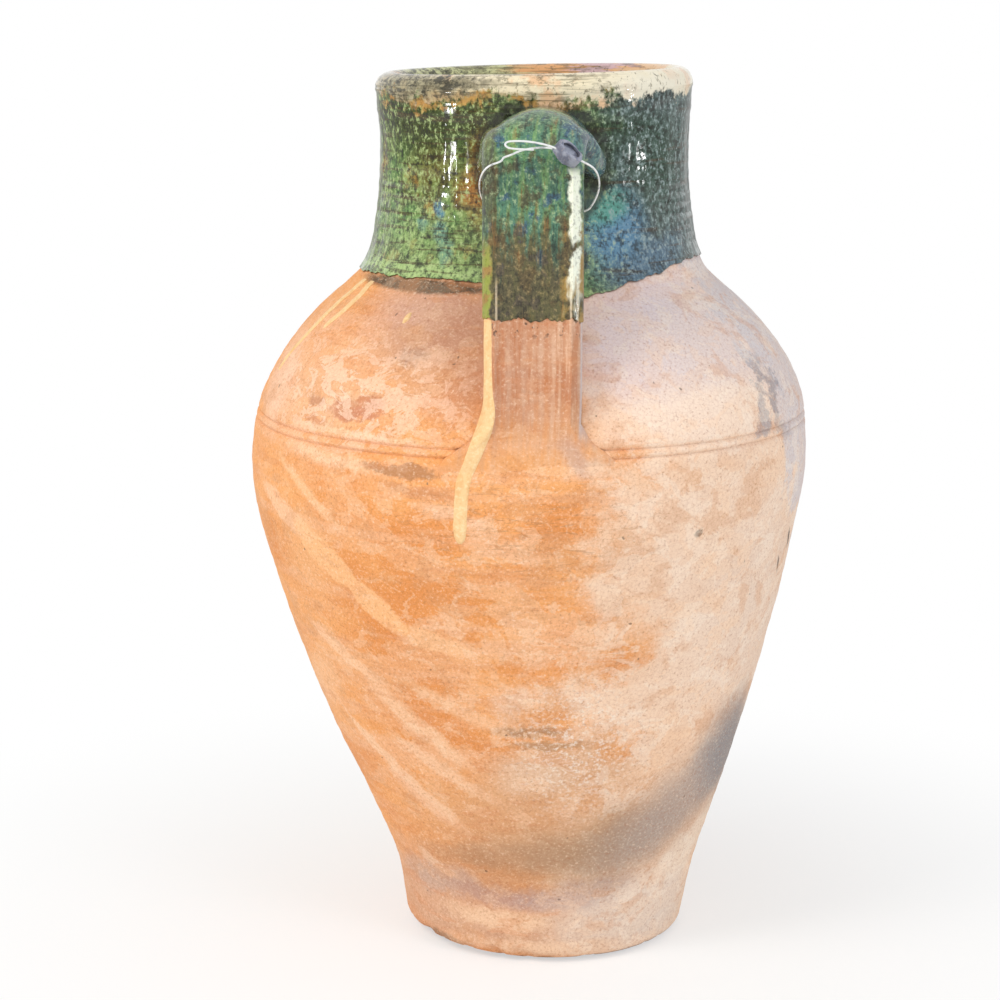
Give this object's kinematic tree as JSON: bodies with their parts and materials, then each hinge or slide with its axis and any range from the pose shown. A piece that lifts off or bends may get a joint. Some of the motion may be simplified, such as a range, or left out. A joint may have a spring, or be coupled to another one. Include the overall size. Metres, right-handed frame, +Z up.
{
  "type": "olive jar",
  "caption": "Tall two-handled terracotta storage jar with a green-glazed neck, strap handles, a narrow foot and a sealed wire loop on one handle.",
  "frame": {"origin": "middle of the foot's flat underside", "axes": "+Z up along the jar's axis, -Y out through the handle that carries the seal, +X to the right seen from that side"},
  "size_m": [0.3812, 0.3832, 0.6],
  "materials": {
    "terracotta": "matte",
    "cream_slip": "satin",
    "green_glaze": "gloss",
    "inner_glaze": "gloss",
    "steel_wire": "satin",
    "lead": "matte"
  },
  "bodies": {
    "jar": {"lower_body": "terracotta", "shoulder": "terracotta", "neck": "terracotta", "rim_coil": "cream_slip", "front_handle": "terracotta", "back_handle": "terracotta", "neck_glaze": "green_glaze", "front_handle_glaze": "green_glaze", "back_handle_glaze": "green_glaze", "inner_glaze": "inner_glaze"},
    "seal": {"seal_wire": "steel_wire", "lead_seal": "lead"}
  },
  "joints": [
    {"name": "seal_slide", "type": "slide", "parent": "jar", "child": "seal", "axis": [0, -0.0947, -0.9955], "range_m": [-0.012, 0.09]}
  ]
}
